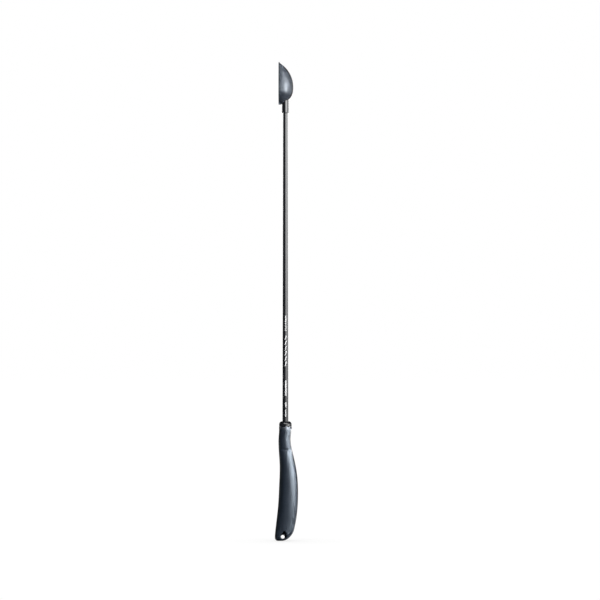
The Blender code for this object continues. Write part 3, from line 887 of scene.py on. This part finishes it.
def make_print():
    """Generic marks without lettering: a row of fine bars, a row of slanted strokes and three blocks."""
    marks = []
    for k in range(BAR_COUNT):
        low = BAR_LOWEST + BAR_PITCH * k
        marks.append(mark(low, low + BAR_HEIGHT, BAR_SIDES, BAR_SIDES))
    for k in range(STROKE_COUNT):
        low = STROKE_LOWEST + STROKE_PITCH * k
        marks.append(mark(low, low + STROKE_HEIGHT, *STROKE_SIDES))
    for low, high, left, right in BLOCKS:
        marks.append(mark(low, high, (left, right), (left, right)))
    bm = bmesh.new()
    for piece in marks:
        bm.from_mesh(piece.data)
        bpy.data.objects.remove(piece)
    mesh = bpy.data.meshes.new("shaft_print")
    bm.to_mesh(mesh)
    bm.free()
    shade(mesh)
    return new_object("shaft_print", mesh)


# ---- Studio ----


def ramp(tree, pairs, value):
    """Straight lines between (position, share) pairs. Past the end pairs the share stays the same."""
    low, high = pairs[0][0], pairs[-1][0]
    spread = tree.nodes.new("ShaderNodeMapRange")
    tree.links.new(value, spread.inputs["Value"])
    spread.inputs["From Min"].default_value = low
    spread.inputs["From Max"].default_value = high
    made = tree.nodes.new("ShaderNodeValToRGB")
    while len(made.color_ramp.elements) < len(pairs):
        made.color_ramp.elements.new(0.5)
    for element, (position, share) in zip(made.color_ramp.elements, pairs):
        element.position = (position - low) / (high - low)
        element.color = (share, share, share, 1)
    tree.links.new(spread.outputs["Result"], made.inputs["Fac"])
    return made.outputs["Color"]


def math_node(tree, operation, *values):
    made = tree.nodes.new("ShaderNodeMath")
    made.operation = operation
    for socket, value in zip(made.inputs, values):
        if isinstance(value, bpy.types.NodeSocket):
            tree.links.new(value, socket)
        else:
            socket.default_value = value
    return made.outputs[0]


def split_vector(tree, vector):
    split = tree.nodes.new("ShaderNodeSeparateXYZ")
    tree.links.new(vector, split.inputs[0])
    return split.outputs


def azimuth_share(tree, axes, across):
    """The share of full strength at a place's or a direction's azimuth."""
    toward_camera = math_node(tree, "MULTIPLY", axes["Y"], -1.0)
    azimuth = math_node(tree, "ARCTAN2", axes["X"], toward_camera)
    degrees = math_node(tree, "MULTIPLY", azimuth, 180 / math.pi)
    wrapped = math_node(tree, "WRAP", degrees, 360.0 - FIRST_AZIMUTH, -FIRST_AZIMUTH)
    return ramp(tree, across, wrapped)


def sheet_material(name, strength, across, up):
    """Light from a sheet's inner face, graded round the object and up it. Other light passes through."""
    material = bpy.data.materials.new(name)
    material.use_nodes = True
    tree = material.node_tree
    tree.nodes.clear()
    geometry = tree.nodes.new("ShaderNodeNewGeometry")
    axes = split_vector(tree, geometry.outputs["Position"])
    share = math_node(tree, "MULTIPLY", azimuth_share(tree, axes, across), ramp(tree, up, axes["Z"]))
    inside = math_node(tree, "SUBTRACT", 1.0, geometry.outputs["Backfacing"])
    lit = math_node(tree, "MULTIPLY", share, inside)
    emission = tree.nodes.new("ShaderNodeEmission")
    tree.links.new(math_node(tree, "MULTIPLY", lit, strength), emission.inputs["Strength"])
    through = tree.nodes.new("ShaderNodeBsdfTransparent")
    both = tree.nodes.new("ShaderNodeAddShader")
    tree.links.new(emission.outputs[0], both.inputs[0])
    tree.links.new(through.outputs[0], both.inputs[1])
    output = tree.nodes.new("ShaderNodeOutputMaterial")
    tree.links.new(both.outputs[0], output.inputs["Surface"])
    return material


def make_sheet(name, radius, strength, pieces, across, up):
    """A curved softbox for the named pieces. The camera doesn't see it and it throws no shadow."""
    first, last = across[0][0], across[-1][0]
    low, high = up[0][0], up[-1][0]
    points = []
    for i in range(SHEET_COLUMNS + 1):
        turn = math.radians(first + (last - first) * i / SHEET_COLUMNS)
        for j in range(SHEET_ROWS + 1):
            z = low + (high - low) * j / SHEET_ROWS
            reach = radius[0] + (radius[1] - radius[0]) * j / SHEET_ROWS
            points.append((reach * math.sin(turn), -reach * math.cos(turn), z))
    column = SHEET_ROWS + 1
    faces = []
    for i in range(SHEET_COLUMNS):
        for j in range(SHEET_ROWS):
            corner = i * column + j
            faces.append((corner, corner + 1, corner + column + 1, corner + column))
    mesh = bpy.data.meshes.new(name)
    mesh.from_pydata(points, [], faces)
    mesh.materials.append(sheet_material(name, strength, across, up))
    sheet = new_object(name, mesh)
    sheet.visible_camera = False
    sheet.visible_shadow = False
    lit = bpy.data.collections.new(name)
    for piece in pieces:
        lit.objects.link(bpy.data.objects[piece])
    sheet.light_linking.receiver_collection = lit


def make_world():
    """White to the camera, and faint graded light to every other ray."""
    world = bpy.data.worlds.new("studio")
    bpy.context.scene.world = world
    world.use_nodes = True
    tree = world.node_tree
    tree.nodes.clear()
    rays = tree.nodes.new("ShaderNodeLightPath")
    direction = tree.nodes.new("ShaderNodeTexCoord")
    axes = split_vector(tree, direction.outputs["Generated"])
    light = math_node(tree, "MULTIPLY", azimuth_share(tree, axes, AMBIENT_ACROSS), AMBIENT)
    background = tree.nodes.new("ShaderNodeBackground")
    background.inputs["Color"].default_value = AMBIENT_COLOUR
    tree.links.new(light, background.inputs["Strength"])
    white = tree.nodes.new("ShaderNodeBackground")
    white.inputs["Color"].default_value = (1, 1, 1, 1)
    mix = tree.nodes.new("ShaderNodeMixShader")
    tree.links.new(rays.outputs["Is Camera Ray"], mix.inputs["Fac"])
    tree.links.new(background.outputs[0], mix.inputs[1])
    tree.links.new(white.outputs[0], mix.inputs[2])
    output = tree.nodes.new("ShaderNodeOutputWorld")
    tree.links.new(mix.outputs[0], output.inputs["Surface"])


def make_floor():
    """A white floor with a soft contact shadow, which only the camera sees."""
    reach = FLOOR_REACH
    mesh = bpy.data.meshes.new("floor")
    corners = [(-reach, -reach, 0), (reach, -reach, 0), (reach, reach, 0), (-reach, reach, 0)]
    mesh.from_pydata(corners, [], [(0, 1, 2, 3)])
    floor = new_object("floor", mesh)
    material = bpy.data.materials.new("floor")
    material.use_nodes = True
    tree = material.node_tree
    tree.nodes.clear()
    near = tree.nodes.new("ShaderNodeAmbientOcclusion")
    near.samples = FLOOR_SHADOW_SAMPLES
    near.inputs["Distance"].default_value = FLOOR_SHADOW_REACH
    white = tree.nodes.new("ShaderNodeEmission")
    shadow = math_node(tree, "MULTIPLY_ADD", near.outputs["AO"], FLOOR_SHADOW_DEPTH, FLOOR_DARKEST)
    tree.links.new(shadow, white.inputs["Strength"])
    output = tree.nodes.new("ShaderNodeOutputMaterial")
    tree.links.new(white.outputs[0], output.inputs["Surface"])
    mesh.materials.append(material)
    floor.visible_glossy = False
    floor.visible_diffuse = False
    floor.visible_shadow = False


def make_camera():
    data = bpy.data.cameras.new("camera")
    data.lens = CAMERA_LENS
    data.sensor_width = CAMERA_SENSOR
    data.clip_end = CAMERA_CLIP
    camera = bpy.data.objects.new("camera", data)
    bpy.context.scene.collection.objects.link(camera)
    camera.location = (CAMERA_AIM[0], -CAMERA_DISTANCE, CAMERA_AIM[1])
    camera.rotation_euler = (math.pi / 2, 0, 0)
    bpy.context.scene.camera = camera
    bpy.context.scene.view_settings.view_transform = "Standard"


def place(piece, node, slot, material):
    """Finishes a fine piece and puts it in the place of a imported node, if it stands for one."""
    piece.data.materials.clear()
    piece.data.materials.append(material)
    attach(piece, "root")
    if node:
        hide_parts(node)


def dress(node, material):
    """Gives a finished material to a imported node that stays."""
    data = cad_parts[node].data
    data.materials.clear()
    data.materials.append(material)


gloss = gloss_black("gloss_black")
cup_slate = slate_moulding(
    name="cup_slate",
    dark=(0.027, 0.032, 0.042),
    light=(0.040, 0.047, 0.060),
    roughness=0.33,
    grain_depth=0.03 * MM,
    tint=(0.84, 0.92, 1.0, 1),
    shade_slants=(0.5, 0.8),
)
# The rim lip is the cup's own plastic; its darker colour here is painted shade
lip_slate_painted_shade = slate_moulding(
    name="lip_slate_painted_shade",
    dark=(0.012, 0.015, 0.020),
    light=(0.019, 0.023, 0.030),
    roughness=0.36,
    grain_depth=0.03 * MM,
    tint=(0.84, 0.92, 1.0, 1),
    shade_slants=(0.5, 0.8),
)
grip_slate = slate_moulding(
    name="grip_slate",
    dark=(0.0045, 0.0065, 0.0100),
    light=(0.0076, 0.0104, 0.0153),
    roughness=0.37,
    grain_depth=0.035 * MM,
    tint=(0.77, 0.88, 1.0, 1),
    shade_slants=(0.45, 0.75),
)
place(make_cup(), "cup_bowl", "cup_plastic", cup_slate)
place(make_lip(), None, "cup_plastic", lip_slate_painted_shade)
place(make_ferrule(), "neck_ferrule", "ferrule_gloss", gloss)
place(make_shaft(), "shaft_blank", "shaft_gloss", gloss_shaft())
place(make_print(), None, "shaft_gloss", print_ink())
place(make_collar(), "grip_collar", "collar_gloss", gloss)
place(make_trim(), "grip_trim_ring", "trim_band", satin_band())
place(make_cover(), "grip_cover", "grip_satin", grip_slate)
dress("grip_core", hidden_plastic("core_plastic", (0.06, 0.06, 0.06), (0.10, 0.10, 0.10), 0.55))
rubber = hidden_plastic("plug_rubber", (0.16, 0.16, 0.15), (0.24, 0.24, 0.23), 0.7)
for plug in ("shaft_tip_plug", "shaft_butt_plug"):
    dress(plug, rubber)

for sheet_name, sheet_design in SHEETS.items():
    make_sheet(sheet_name, **sheet_design)
make_world()
make_floor()
make_camera()
